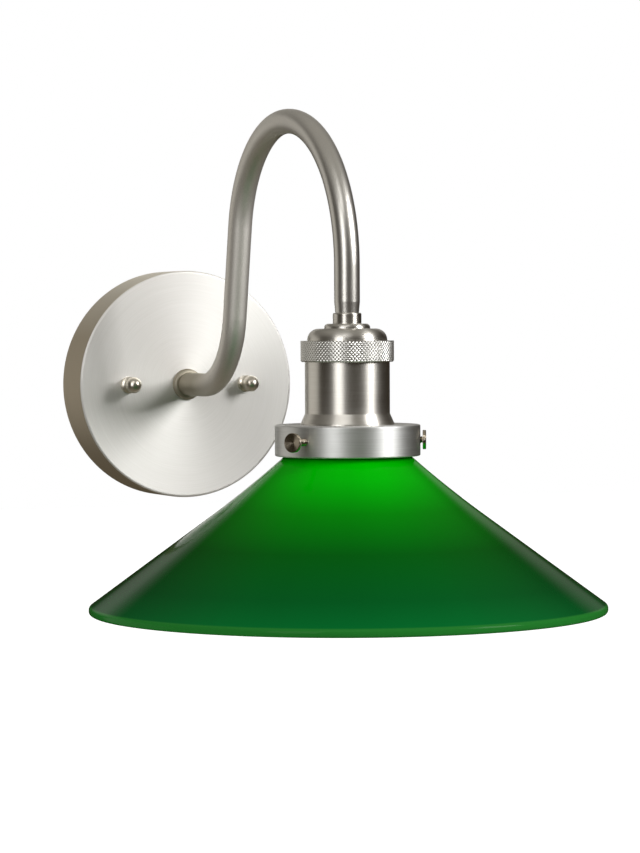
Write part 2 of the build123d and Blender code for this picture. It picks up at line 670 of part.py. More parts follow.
# Blown and cased cone: a lip and groove that sit in the holder, a neck that flares gently into a
# straight cone, and a rim ground flat and rounded.
GLASS_DROP = SHADE_RIM_TOP_Z - SHADE_RIM_BOTTOM_Z       # thickness of the cone, measured upright
INNER_CONE_TOP = (CONE_TOP[0], CONE_TOP[1] - GLASS_DROP)
INNER_CONE_STRAIGHT = (CONE_STRAIGHT[0], CONE_STRAIGHT[1] - GLASS_DROP)
CONE_SLOPE = (CONE_STRAIGHT[0] - SHADE_R, CONE_STRAIGHT[1] - SHADE_RIM_TOP_Z)
LIP_BOTTOM_Z = GLASS_TOP_Z - 2.4
GROOVE_TOP_Z = LIP_BOTTOM_Z - 0.3
GROOVE_BOTTOM_Z = -26.6
INNER_SHOULDER = (25.2, -31.4)
INNER_NECK_Z = -29.8
with BuildPart() as glass_shade:
    with BuildSketch(SOCKET_SECTION) as glass_section:
        with BuildLine():
            Polyline(
                INNER_CONE_TOP,
                INNER_SHOULDER,
                (GLASS_NECK_BORE_R, INNER_NECK_Z),
                (GLASS_NECK_BORE_R, GLASS_TOP_Z),
                (LIP_R, GLASS_TOP_Z),
                (LIP_R, LIP_BOTTOM_Z),
                (GROOVE_R, GROOVE_TOP_Z),
                (GROOVE_R, GROOVE_BOTTOM_Z),
                CONE_TOP,
            )
            TangentArc(CONE_STRAIGHT, CONE_TOP, tangent=CONE_SLOPE)
            Polyline(
                CONE_STRAIGHT,
                (SHADE_R, SHADE_RIM_TOP_Z),
                (SHADE_R, SHADE_RIM_BOTTOM_Z),
                INNER_CONE_STRAIGHT,
            )
            TangentArc(INNER_CONE_STRAIGHT, INNER_CONE_TOP, tangent=CONE_SLOPE)
        make_face()
        for corner, radius in (
            ((LIP_R, GLASS_TOP_Z), 1.1),
            ((LIP_R, LIP_BOTTOM_Z), 1.1),
            ((GROOVE_R, GROOVE_BOTTOM_Z), 1.5),
            (CONE_TOP, 1.0),
            ((SHADE_R, SHADE_RIM_TOP_Z), 1.0),
            ((SHADE_R, SHADE_RIM_BOTTOM_Z), 1.2),
            (INNER_SHOULDER, 3),
            ((GLASS_NECK_BORE_R, INNER_NECK_Z), 2),
            ((GLASS_NECK_BORE_R, GLASS_TOP_Z), 1.1),
        ):
            fillet(glass_section.vertices().sort_by_distance(corner)[0], radius=radius)
    revolve(axis=SOCKET_AXIS)
keep(glass_shade, "glass_shade")

# ---- bulb --------------------------------------------------------------------------------------

# Round coated bulb on a medium screw cap.
BULB_NECK_R = 12.9
BULB_GLASS_WALL = 0.8
BULB_CENTRE_Z = BULB_BOTTOM_Z + BULB_R
BULB_SHOULDER = (15.6, -37.0)
with BuildPart() as bulb_glass:
    with BuildSketch(SOCKET_SECTION):
        with BuildLine():
            Line((0, BULB_CAP_BOTTOM_Z), (BULB_NECK_R, BULB_CAP_BOTTOM_Z))
            Spline(
                (BULB_NECK_R, BULB_CAP_BOTTOM_Z),
                BULB_SHOULDER,
                (BULB_R, BULB_CENTRE_Z),
                tangents=[(0, -1), (0, -1)],
            )
            RadiusArc((BULB_R, BULB_CENTRE_Z), (0, BULB_BOTTOM_Z), BULB_R)
            Line((0, BULB_BOTTOM_Z), (0, BULB_CAP_BOTTOM_Z))
        make_face()
    revolve(axis=SOCKET_AXIS)
    neck_face = bulb_glass.faces().sort_by(Axis.Z)[-1]
    offset(amount=-BULB_GLASS_WALL, openings=neck_face)
keep(bulb_glass, "bulb_glass")

# Thin rolled cap with a conical crown, open in the middle for the insulator.
CAP_SHEET = 0.4
CROWN_Z = 0.4
CROWN_EDGE_R = 10.8
CROWN_HOLE_R = 8.0
CROWN_DROP = 1.0
with BuildPart() as bulb_screw_cap:
    with BuildSketch(SOCKET_SECTION):
        with BuildLine():
            Polyline(
                (BULB_CAP_R, BULB_CAP_BOTTOM_Z),
                (BULB_CAP_R, CROWN_Z - CROWN_DROP),
                (CROWN_EDGE_R, CROWN_Z),
                (CROWN_HOLE_R, CROWN_Z),
                (CROWN_HOLE_R, CROWN_Z - CAP_SHEET),
                (CROWN_EDGE_R, CROWN_Z - CAP_SHEET),
                (BULB_CAP_R - CAP_SHEET, CROWN_Z - CROWN_DROP - CAP_SHEET),
                (BULB_CAP_R - CAP_SHEET, BULB_CAP_BOTTOM_Z),
                close=True,
            )
        make_face()
    revolve(axis=SOCKET_AXIS)
keep(bulb_screw_cap, "bulb_screw_cap")

INSULATOR_TOP_Z = 2.9
INSULATOR_FOOT_R = 9.2
INSULATOR_TOP_R = 5.2
with BuildPart() as bulb_insulator:
    with BuildSketch(level(CROWN_Z)):
        Circle(INSULATOR_FOOT_R)
    with BuildSketch(level(INSULATOR_TOP_Z)):
        Circle(INSULATOR_TOP_R)
    loft()
keep(bulb_insulator, "bulb_insulator")

CONTACT_R = 4.4
CONTACT_ROUND = 0.7
with BuildPart() as bulb_contact:
    with BuildSketch(level(INSULATOR_TOP_Z)):
        Circle(CONTACT_R)
    extrude(amount=BULB_TIP_Z - INSULATOR_TOP_Z)
    fillet(bulb_contact.edges().group_by(Axis.Z)[-1], radius=CONTACT_ROUND)
keep(bulb_contact, "bulb_contact")

print(len(made), "pieces")
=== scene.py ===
import json
from math import atan2, cos, hypot, pi, radians, sin, tan, tau

import bmesh
import bpy
from mathutils import Matrix, Vector


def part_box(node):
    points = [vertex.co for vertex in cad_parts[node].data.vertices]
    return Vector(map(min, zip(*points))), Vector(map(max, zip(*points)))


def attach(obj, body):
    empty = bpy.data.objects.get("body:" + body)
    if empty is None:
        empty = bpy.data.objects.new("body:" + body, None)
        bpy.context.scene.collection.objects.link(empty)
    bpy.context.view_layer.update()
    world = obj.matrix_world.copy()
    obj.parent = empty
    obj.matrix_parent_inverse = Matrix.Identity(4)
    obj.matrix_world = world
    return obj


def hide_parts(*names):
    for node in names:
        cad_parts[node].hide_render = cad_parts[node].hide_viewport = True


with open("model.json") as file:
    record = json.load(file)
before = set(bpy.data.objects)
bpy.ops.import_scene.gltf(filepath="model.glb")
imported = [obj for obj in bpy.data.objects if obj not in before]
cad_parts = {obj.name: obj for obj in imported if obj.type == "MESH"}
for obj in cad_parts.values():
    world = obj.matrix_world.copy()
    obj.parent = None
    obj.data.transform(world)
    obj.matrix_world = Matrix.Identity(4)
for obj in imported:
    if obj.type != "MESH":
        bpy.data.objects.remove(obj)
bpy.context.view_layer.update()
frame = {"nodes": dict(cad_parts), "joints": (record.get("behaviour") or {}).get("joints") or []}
nodes = frame["nodes"]
MM = 0.001

# ---- mounting strap --------------------------------------------------------------------------
# A strap pressed from steel sheet, that two screws hold to the wall box. It is zinc plated in a
# barrel, so it is a cool grey with a faint cloudy spangle and no direction to its shine.

SPANGLE_WIDTH = 2.5 * MM
CLOUD_WIDTH = 6 * MM
SHEET_GRAIN = 0.4 * MM

# Sockets of a Mix node set to colour: the share, the colours at 0 and 1, and the result.
SHARE, AT_0, AT_1, MIXED = 0, 6, 7, 2


def linear(code):
    """Linear colour of an sRGB hex code."""
    shares = [int(code[i:i + 2], 16) / 255 for i in (1, 3, 5)]
    return [s / 12.92 if s <= 0.04045 else ((s + 0.055) / 1.055) ** 2.4 for s in shares] + [1.0]


def add(tree, kind, inputs=None, **settings):
    """Add one node with its settings. Inputs maps a socket's name or number to a value, or to the
    output that feeds it."""
    node = tree.nodes.new(kind)
    for name, value in settings.items():
        setattr(node, name, value)
    for name, value in (inputs or {}).items():
        if isinstance(value, bpy.types.NodeSocket):
            tree.links.new(value, node.inputs[name])
        else:
            node.inputs[name].default_value = value
    return node


def new_finish(name):
    """An empty node material and its tree."""
    finish = bpy.data.materials.new(name)
    finish.use_nodes = True
    finish.node_tree.nodes.clear()
    return finish, finish.node_tree


def dress(finish, *names):
    """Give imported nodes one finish."""
    for name in names:
        nodes[name].data.materials.clear()
        nodes[name].data.materials.append(finish)


def zinc_plated_steel():
    """Barrel-plated zinc: blotches a few millimetres wide, and a fine grain from the sheet."""
    finish, tree = new_finish("zinc_plated_steel")
    place = add(tree, "ShaderNodeTexCoord").outputs["Object"]
    spangle = add(tree, "ShaderNodeTexVoronoi", {"Vector": place, "Scale": 1 / SPANGLE_WIDTH})
    cloud = add(tree, "ShaderNodeTexNoise", {
        "Vector": place, "Scale": 1 / CLOUD_WIDTH, "Detail": 4.0})
    shade = add(tree, "ShaderNodeMix", {
        SHARE: spangle.outputs["Color"], AT_0: linear("#9fa3a6"), AT_1: linear("#b9bcbd")},
        data_type="RGBA")
    shine = add(tree, "ShaderNodeMapRange", {
        "Value": cloud.outputs["Fac"], "To Min": 0.28, "To Max": 0.48})
    grain = add(tree, "ShaderNodeTexNoise", {
        "Vector": place, "Scale": 1 / SHEET_GRAIN, "Detail": 2.0})
    bump = add(tree, "ShaderNodeBump", {
        "Height": grain.outputs["Fac"], "Strength": 0.15, "Distance": 0.05 * MM})
    metal = add(tree, "ShaderNodeBsdfPrincipled", {
        "Base Color": shade.outputs[MIXED], "Metallic": 1.0,
        "Roughness": shine.outputs["Result"], "Normal": bump.outputs["Normal"]})
    add(tree, "ShaderNodeOutputMaterial", {"Surface": metal.outputs[0]})
    return finish


zinc = zinc_plated_steel()
dress(zinc, "mounting_crossbar")

# ---- studs and their nuts --------------------------------------------------------------------
# Pan-head machine screws that stand out of the strap, each with a hexagon nut run down on it.
# The nuts and the screws come from the same plating barrel as the strap.

dress(zinc, "canopy_studs", "stud_jam_nuts")

# ---- ground screw ----------------------------------------------------------------------------
# The hexagon ground screw is dyed green over its zinc, as such screws are, and stands on a plain
# washer. The dye is a thin clear film, so the metal still shines through it.

DYE_PATCH = 1.5 * MM


def green_dyed_zinc():
    """Dyed zinc: green that is uneven where the film is thin."""
    finish, tree = new_finish("green_dyed_zinc")
    place = add(tree, "ShaderNodeTexCoord").outputs["Object"]
    film = add(tree, "ShaderNodeTexNoise", {
        "Vector": place, "Scale": 1 / DYE_PATCH, "Detail": 3.0})
    shade = add(tree, "ShaderNodeMix", {
        SHARE: film.outputs["Fac"], AT_0: linear("#1d5a2c"), AT_1: linear("#3f8a4c")},
        data_type="RGBA")
    bump = add(tree, "ShaderNodeBump", {
        "Height": film.outputs["Fac"], "Strength": 0.1, "Distance": 0.03 * MM})
    metal = add(tree, "ShaderNodeBsdfPrincipled", {
        "Base Color": shade.outputs[MIXED], "Metallic": 0.8, "Roughness": 0.35,
        "Normal": bump.outputs["Normal"]})
    add(tree, "ShaderNodeOutputMaterial", {"Surface": metal.outputs[0]})
    return finish


dress(zinc, "ground_cup_washer")
dress(green_dyed_zinc(), "ground_screw")

# ---- canopy ----------------------------------------------------------------------------------
# A spun steel dish, nickel plated and then brushed as it turns. The marks run in circles, so its
# flat face shows a soft bright fan on each side of the middle, and its rim a thin bright line.

MARK_CHANGES = 1.6          # how often a brush mark changes on its way round
WEAR_WIDTH = 14 * MM
SIDE_SKIN = 0.25 * MM       # the canopy's side is what lies this close to its widest radius
SIDE_SHADE_Z = 24 * MM      # painted shade: the side is brown up to here
SIDE_LIGHT_Z = 50 * MM       # painted light: the side is pale from here up


def about_axis(tree, middle, axis):
    """Direction, radius and height about a turned piece's axis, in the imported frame's metres."""
    place = add(tree, "ShaderNodeTexCoord").outputs["Object"]
    local = add(tree, "ShaderNodeVectorMath", {0: place, 1: middle},
                operation="SUBTRACT").outputs[0]
    across = [0.0 if letter == axis else 1.0 for letter in "XYZ"]
    flat = add(tree, "ShaderNodeVectorMath", {0: local, 1: across},
               operation="MULTIPLY").outputs[0]
    direction = add(tree, "ShaderNodeVectorMath", {0: flat}, operation="NORMALIZE").outputs[0]
    radius = add(tree, "ShaderNodeVectorMath", {0: flat}, operation="LENGTH").outputs["Value"]
    height = add(tree, "ShaderNodeSeparateXYZ", {0: local}).outputs[axis]
    return direction, radius, height


def brushed_metal(name, middle, axis, light, dark, rough, stretch=0.8, mark=0.3 * MM,
                  depth=0.005 * MM, side_from=None):
    """Satin metal brushed on the turning piece, so it shines in a streak across its marks. Mark
    and depth are a brush mark's size. Real ones are about 0.05 mm wide, and are drawn coarser to
    show. Beyond the radius side_from is a dish's side, where painted shade and painted light
    stand in for what it reflects: it is painted browner low down, and paler towards its top."""
    finish, tree = new_finish(name)
    direction, radius, height = about_axis(tree, middle, axis)
    along = add(tree, "ShaderNodeVectorMath", {0: direction, "Scale": MARK_CHANGES},
                operation="SCALE").outputs[0]
    rows = add(tree, "ShaderNodeMath", {0: height, 1: 1 / mark}, operation="MULTIPLY").outputs[0]
    lift = [1.0 if letter == axis else 0.0 for letter in "XYZ"]
    rise = add(tree, "ShaderNodeVectorMath", {0: lift, "Scale": rows},
               operation="SCALE").outputs[0]
    run = add(tree, "ShaderNodeVectorMath", {0: along, 1: rise}, operation="ADD").outputs[0]
    rings = add(tree, "ShaderNodeMath", {0: radius, 1: 1 / mark}, operation="MULTIPLY").outputs[0]
    marks = add(tree, "ShaderNodeTexNoise", {
        "Vector": run, "W": rings, "Scale": 1.0, "Detail": 3.0, "Roughness": 0.65},
        noise_dimensions="4D").outputs["Fac"]
    place = add(tree, "ShaderNodeTexCoord").outputs["Object"]
    wear = add(tree, "ShaderNodeTexNoise", {
        "Vector": place, "Scale": 1 / WEAR_WIDTH, "Detail": 3.0}).outputs["Fac"]
    tone = add(tree, "ShaderNodeMapRange", {"Value": marks, "From Min": 0.3, "From Max": 0.7})
    shade = add(tree, "ShaderNodeMix", {
        SHARE: tone.outputs["Result"], AT_0: linear(dark), AT_1: linear(light)},
        data_type="RGBA")
    # Painted shade and light on a dish's side: darker and browner low down, paler towards its top.
    if side_from is not None:
        beyond = add(tree, "ShaderNodeMath", {0: radius, 1: side_from}, operation="GREATER_THAN")
        up = add(tree, "ShaderNodeSeparateXYZ", {0: place}).outputs["Z"]
        top = add(tree, "ShaderNodeMapRange", {
            "Value": up, "From Min": SIDE_SHADE_Z, "From Max": SIDE_LIGHT_Z})
        side = add(tree, "ShaderNodeMix", {
            SHARE: top.outputs["Result"], AT_0: linear("#c2b7a3"), AT_1: linear("#e8e2d5")},
            data_type="RGBA")
        shade = add(tree, "ShaderNodeMix", {
            SHARE: beyond.outputs[0], AT_0: shade.outputs[MIXED], AT_1: side.outputs[MIXED]},
            data_type="RGBA")
    # The marks and the wear each lie near 0.5, and their sum near 1.
    haze = add(tree, "ShaderNodeMath", {0: marks, 1: wear}, operation="ADD")
    shine = add(tree, "ShaderNodeMapRange", {
        "Value": haze.outputs[0], "From Min": 0.6, "From Max": 1.4,
        "To Min": rough - 0.04, "To Max": rough + 0.04})
    bump = add(tree, "ShaderNodeBump", {"Height": marks, "Strength": 0.5, "Distance": depth})
    run_round = add(tree, "ShaderNodeTangent", direction_type="RADIAL", axis=axis)
    metal = add(tree, "ShaderNodeBsdfPrincipled", {
        "Base Color": shade.outputs[MIXED], "Metallic": 1.0,
        "Roughness": shine.outputs["Result"], "Anisotropic": stretch,
        "Anisotropic Rotation": 0.25, "Normal": bump.outputs["Normal"],
        "Tangent": run_round.outputs[0]})
    add(tree, "ShaderNodeOutputMaterial", {"Surface": metal.outputs[0]})
    return finish


canopy_low, canopy_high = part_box("canopy")
canopy_middle = (canopy_low + canopy_high) / 2
canopy_r = (canopy_high.x - canopy_low.x) / 2
canopy_finish = brushed_metal(
    "brushed_nickel_canopy", canopy_middle, "Y", "#f2f0ed", "#ebe9e5", rough=0.6, stretch=0.5,
    side_from=canopy_r - SIDE_SKIN)
dress(canopy_finish, "canopy")

# ---- ball nuts -------------------------------------------------------------------------------
# Two cap nuts, each turned from bar as a foot, a waist and a ball, that hold the canopy to its
# studs. They are nickel plated and tumbled, so they are smooth, with a small sharp reflection.

DIMPLE_WIDTH = 1.2 * MM


def tumbled_nickel():
    """Nickel plate over a tumbled surface: small soft dimples and no brush marks."""
    finish, tree = new_finish("tumbled_nickel")
    place = add(tree, "ShaderNodeTexCoord").outputs["Object"]
    dimples = add(tree, "ShaderNodeTexNoise", {
        "Vector": place, "Scale": 1 / DIMPLE_WIDTH, "Detail": 2.0}).outputs["Fac"]
    shade = add(tree, "ShaderNodeMix", {
        SHARE: dimples, AT_0: linear("#d8d1c3"), AT_1: linear("#e6e0d3")}, data_type="RGBA")
    shine = add(tree, "ShaderNodeMapRange", {"Value": dimples, "To Min": 0.28, "To Max": 0.34})
    bump = add(tree, "ShaderNodeBump", {
        "Height": dimples, "Strength": 0.12, "Distance": 0.05 * MM})
    metal = add(tree, "ShaderNodeBsdfPrincipled", {
        "Base Color": shade.outputs[MIXED], "Metallic": 1.0,
        "Roughness": shine.outputs["Result"], "Normal": bump.outputs["Normal"]})
    add(tree, "ShaderNodeOutputMaterial", {"Surface": metal.outputs[0]})
    return finish


dress(tumbled_nickel(), "ball_nut_left", "ball_nut_right")

# ---- arm's pipe and its lock nut -------------------------------------------------------------
# Threaded lamp pipe passes through the canopy and the strap, and a toothed washer and a thin nut
# hold it from behind. They are zinc plated and show only from the wall side.

dress(zinc, "arm_nipple", "nipple_lock_washer", "nipple_lock_nut")

# ---- arm -------------------------------------------------------------------------------------
# Steel tube bent cold into a hook, blasted and then nickel plated. The blasting leaves an even
# fine grain with no direction, which gives the tube a soft grey-brown shine.

BLASTED_GRAIN = 0.6 * MM    # really about 0.3 mm

arm_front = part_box("arm_tube")[0].y


def blasted_nickel():
    """Nickel over a bead-blasted surface. The last bend rubbed the drop over the socket smoother,
    so it shines more there. Along the arm its colour is painted light and shade: the rise is
    painted palest, and the foot by the wall is painted browner, as shade."""
    finish, tree = new_finish("blasted_nickel")
    place = add(tree, "ShaderNodeTexCoord").outputs["Object"]
    grain = add(tree, "ShaderNodeTexNoise", {
        "Vector": place, "Scale": 1 / BLASTED_GRAIN, "Detail": 3.0,
        "Roughness": 0.6}).outputs["Fac"]
    out = add(tree, "ShaderNodeSeparateXYZ", {0: place}).outputs["Y"]
    inward = add(tree, "ShaderNodeMapRange", {
        "Value": out, "From Min": arm_front, "From Max": 0.0}).outputs["Result"]
    # Painted light and shade along the arm: the rise pale, the foot by the wall brown and dark.
    tone = add(tree, "ShaderNodeValToRGB", {"Fac": inward})
    stops = tone.color_ramp.elements
    for position, code in ((0.5, "#f0ece5"), (0.68, "#f3efe8"), (0.8, "#b4ad9c")):
        stops.new(position).color = linear(code)
    stops[0].color = linear("#d8d5ce")
    stops[-1].color = linear("#b0a998")
    speck = add(tree, "ShaderNodeMix", {
        SHARE: grain, AT_0: linear("#e4e4e4"), AT_1: linear("#ffffff")}, data_type="RGBA")
    shade = add(tree, "ShaderNodeMix", {
        SHARE: 1.0, AT_0: tone.outputs["Color"], AT_1: speck.outputs[MIXED]},
        data_type="RGBA", blend_type="MULTIPLY")
    shine = add(tree, "ShaderNodeMapRange", {
        "Value": inward, "From Max": 0.5, "To Min": 0.34, "To Max": 0.55})
    bump = add(tree, "ShaderNodeBump", {
        "Height": grain, "Strength": 0.25, "Distance": 0.05 * MM})
    metal = add(tree, "ShaderNodeBsdfPrincipled", {
        "Base Color": shade.outputs[MIXED], "Metallic": 1.0,
        "Roughness": shine.outputs["Result"], "Normal": bump.outputs["Normal"]})
    add(tree, "ShaderNodeOutputMaterial", {"Surface": metal.outputs[0]})
    return finish


blasted = blasted_nickel()
dress(blasted, "arm_tube")

# ---- base collar -----------------------------------------------------------------------------
# A small turned ring pushed over the arm's foot, that covers the hole in the canopy. Its outer
# edge is rounded over, and it is plated with the arm.

# The collar lies at the foot's end of the arm's finish, so it takes the foot's brown painted
# shade.
dress(blasted, "base_collar")

# ---- coupling, washer and cap ----------------------------------------------------------------
# The arm ends on a short turned coupling, a rounded washer and the socket's spun cap, threaded on
# one pipe. All three are nickel plated and brushed as they turn, like the canopy.

cap_low, cap_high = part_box("socket_cap")
socket_middle = (cap_low + cap_high) / 2
cap_finish = brushed_metal(
    "brushed_nickel_cap", socket_middle, "Z", "#d8d5ce", "#ccc8c0", rough=0.36)
dress(cap_finish, "arm_coupling", "cap_washer", "socket_cap")

# ---- pipe and bushing inside the cap ---------------------------------------------------------
# The pipe's lower end has a lock nut under the cap, and a push-in bushing of black nylon, that is
# moulded and slightly waxy, keeps a lead off its edge.

MOULD_GRAIN = 0.8 * MM
FLOW_WIDTH = 9 * MM


def moulded(name, light, dark, rough):
    """Moulded plastic or glass: a faint grain from the mould and slightly uneven gloss."""
    finish, tree = new_finish(name)
    place = add(tree, "ShaderNodeTexCoord").outputs["Object"]
    grain = add(tree, "ShaderNodeTexNoise", {
        "Vector": place, "Scale": 1 / MOULD_GRAIN, "Detail": 3.0})
    flow = add(tree, "ShaderNodeTexNoise", {
        "Vector": place, "Scale": 1 / FLOW_WIDTH, "Detail": 2.0}).outputs["Fac"]
    shade = add(tree, "ShaderNodeMix", {
        SHARE: flow, AT_0: linear(dark), AT_1: linear(light)}, data_type="RGBA")
    shine = add(tree, "ShaderNodeMapRange", {
        "Value": flow, "To Min": rough - 0.06, "To Max": rough + 0.06})
    bump = add(tree, "ShaderNodeBump", {
        "Height": grain.outputs["Fac"], "Strength": 0.15, "Distance": 0.05 * MM})
    body = add(tree, "ShaderNodeBsdfPrincipled", {
        "Base Color": shade.outputs[MIXED], "Roughness": shine.outputs["Result"], "IOR": 1.53,
        "Normal": bump.outputs["Normal"]})
    add(tree, "ShaderNodeOutputMaterial", {"Surface": body.outputs[0]})
    return finish


dress(zinc, "socket_nipple", "cap_lock_nut")
dress(moulded("black_nylon", "#1c1c1d", "#131314", rough=0.45), "insulating_bushing")

# ---- knurled ring ----------------------------------------------------------------------------
# A turned ring, rolled with a diamond knurl for grip, that screws onto the shell and holds the
# cap down. Its diamonds stand about 1.6 mm apart and their tips are slightly flattened.

ring_low, ring_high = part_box("knurled_ring")
RING_R = (ring_high.x - ring_low.x) / 2
RING_BORE_R = RING_R - 1.89 * MM
RING_LIP_R = RING_R - 2.92 * MM     # the lip that holds the cap down
RING_LIP_Z = ring_high.z - 1.95 * MM
RING_CHAMFER = 0.6 * MM
KNURL_PITCH = 1.6 * MM
KNURL_RISE = 1.88 * MM
KNURL_DEPTH = 0.32 * MM
KNURL_FLAT = 0.82           # the share of a full point that is left
KNURL_STEPS = 4             # faces across one diamond
ACROSS_SOCKET = ((1, 0, 0), (0, 1, 0))     # two directions across the socket's axis


def triangle_wave(value):
    """1 at whole numbers and 0 half way between."""
    return abs(2 * (value % 1) - 1)


def turned_ring(mesh, middle, across, radii):
    """One ring of vertices round a turned piece, from its radius at each step. Across holds two
    directions at right angles to its axis."""
    made = []
    for i, radius in enumerate(radii):
        angle = tau * i / len(radii)
        made.append(mesh.verts.new([
            centre + radius * (cos(angle) * first + sin(angle) * second)
            for centre, first, second in zip(middle, *across)]))
    return made


def join_rings(mesh, first, second):
    """The faces between two rings of the same count, in order round them."""
    made = []
    for i in range(len(first)):
        following = (i + 1) % len(first)
        made.append(mesh.faces.new((first[i], first[following], second[following], second[i])))
    return made


def knurled_ring_mesh():
    """A fine grid round the ring's outside, raised to diamonds, and plain rings for the rest."""
    around = KNURL_STEPS * round(tau * RING_R / KNURL_PITCH)
    knurl_foot = ring_low.z + RING_CHAMFER
    down = KNURL_STEPS * round((ring_high.z - knurl_foot) / KNURL_RISE)

    def knurled_radius(i, j):
        """Radius at one point of the knurl: two sets of crossing grooves."""
        left, right = triangle_wave((i + j) / KNURL_STEPS), triangle_wave((i - j) / KNURL_STEPS)
        return RING_R - KNURL_DEPTH * (1 - min(left, right, KNURL_FLAT) / KNURL_FLAT)

    outline = []
    for j in range(down + 1):
        height = ring_high.z + (knurl_foot - ring_high.z) * j / down
        outline.append(([knurled_radius(i, j) for i in range(around)], height))
    for radius, height in (
        (RING_R - RING_CHAMFER, ring_low.z), (RING_BORE_R, ring_low.z), (RING_BORE_R, RING_LIP_Z),
        (RING_LIP_R, RING_LIP_Z), (RING_LIP_R, ring_high.z),
    ):
        outline.append(([radius] * around, height))
    mesh = bmesh.new()
    rings = [turned_ring(mesh, (socket_middle.x, socket_middle.y, height), ACROSS_SOCKET, radii)
             for radii, height in outline]
    for upper, lower in zip(rings, rings[1:] + rings[:1]):
        join_rings(mesh, upper, lower)
    bmesh.ops.recalc_face_normals(mesh, faces=mesh.faces)
    return mesh


def new_piece(name, mesh, finish, smooth_below=30):
    """Turn a finished bmesh into an object with one finish, smooth up to an angle in degrees."""
    data = bpy.data.meshes.new(name)
    mesh.to_mesh(data)
    mesh.free()
    piece = bpy.data.objects.new(name, data)
    bpy.context.scene.collection.objects.link(piece)
    data.materials.append(finish)
    data.shade_smooth()
    data.set_sharp_from_angle(angle=radians(smooth_below))
    return piece


ring_finish = brushed_metal(
    "brushed_nickel_ring", socket_middle, "Z", "#efeeea", "#e4e2dd", rough=0.4, stretch=0.3)
knurled_ring = new_piece(
    "diamond_knurled_ring", knurled_ring_mesh(), ring_finish, smooth_below=20)
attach(knurled_ring, "knurled_ring")
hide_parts("knurled_ring")

# ---- shell -----------------------------------------------------------------------------------
# The socket's outer shell is drawn from brass and flared at its foot, then nickel plated and
# brushed as it turns. Its marks are fine, so dark and bright bands stand sharp on its sides.

shell_finish = brushed_metal(
    "brushed_nickel_shell", socket_middle, "Z", "#dcd9d2", "#d0ccc4", rough=0.36, stretch=0.65)
dress(shell_finish, "socket_shell")

# ---- socket body and contacts ----------------------------------------------------------------
# The insulating body is moulded in cream phenolic. Its screw shell is nickel plated brass, rolled
# thin, and its centre contact and binding screws are bare brass.

TARNISH_WIDTH = 4 * MM


def thin_metal(name, light, dark):
    """Thin rolled metal: smooth, with a little tarnish in patches."""
    finish, tree = new_finish(name)
    place = add(tree, "ShaderNodeTexCoord").outputs["Object"]
    tarnish = add(tree, "ShaderNodeTexNoise", {
        "Vector": place, "Scale": 1 / TARNISH_WIDTH, "Detail": 4.0}).outputs["Fac"]
    shade = add(tree, "ShaderNodeMix", {
        SHARE: tarnish, AT_0: linear(dark), AT_1: linear(light)}, data_type="RGBA")
    shine = add(tree, "ShaderNodeMapRange", {"Value": tarnish, "To Min": 0.22, "To Max": 0.4})
    metal = add(tree, "ShaderNodeBsdfPrincipled", {
        "Base Color": shade.outputs[MIXED], "Metallic": 1.0,
        "Roughness": shine.outputs["Result"]})
    add(tree, "ShaderNodeOutputMaterial", {"Surface": metal.outputs[0]})
    return finish


dress(moulded("cream_phenolic", "#d9d3c2", "#cbc4b1", rough=0.3), "socket_body")
dress(thin_metal("nickel_plated_brass", "#c9c4b4", "#aaa491"), "screw_shell")
dress(thin_metal("bare_brass", "#d9b66a", "#a9843f"), "centre_contact", "terminal_screws")

# ---- shade holder and its ring nut -----------------------------------------------------------
# A heavy cup turned from aluminium bar, brushed as it turns and lacquered. It is paler than the
# nickel. A notched steel ring nut pulls it up to the shell from inside.

holder_finish = brushed_metal(
    "brushed_aluminium_holder", socket_middle, "Z", "#e2e2e1", "#d4d4d2", rough=0.51, stretch=0.6,
    mark=0.4 * MM, depth=0.01 * MM)
dress(holder_finish, "shade_holder")
dress(zinc, "retaining_ring")

# ---- thumbscrews -----------------------------------------------------------------------------
# Three screws grip the glass by its groove. Each is turned from brass with a thin dished head and
# a rolled 6-32 thread, and nickel plated. Fine lathe marks run round the conical dish, so it
# shows a dark and bright bow-tie.

SCREW_SHANK_R = 1.65 * MM
THREAD_PITCH = 25.4 * MM / 32
THREAD_DEPTH = 0.42 * MM
THREAD_SIDES = 32
THREAD_STEPS = 6            # rings to each turn of the thread
THREAD_RUN_IN = 0.6 * MM    # where the thread fades in and out
HEAD_SIDES = 64
HEAD_THICK = 1.5 * MM
HEAD_EDGE = 0.18 * MM       # its corners are broken
DISH_DEPTH = 1.0 * MM
DISH_RIM = 0.55 * MM
DISH_MIDDLE_R = 0.3 * MM
LATHE_MARK = 0.2 * MM       # really about 0.1 mm
PLATE_PATCH = 1.5 * MM


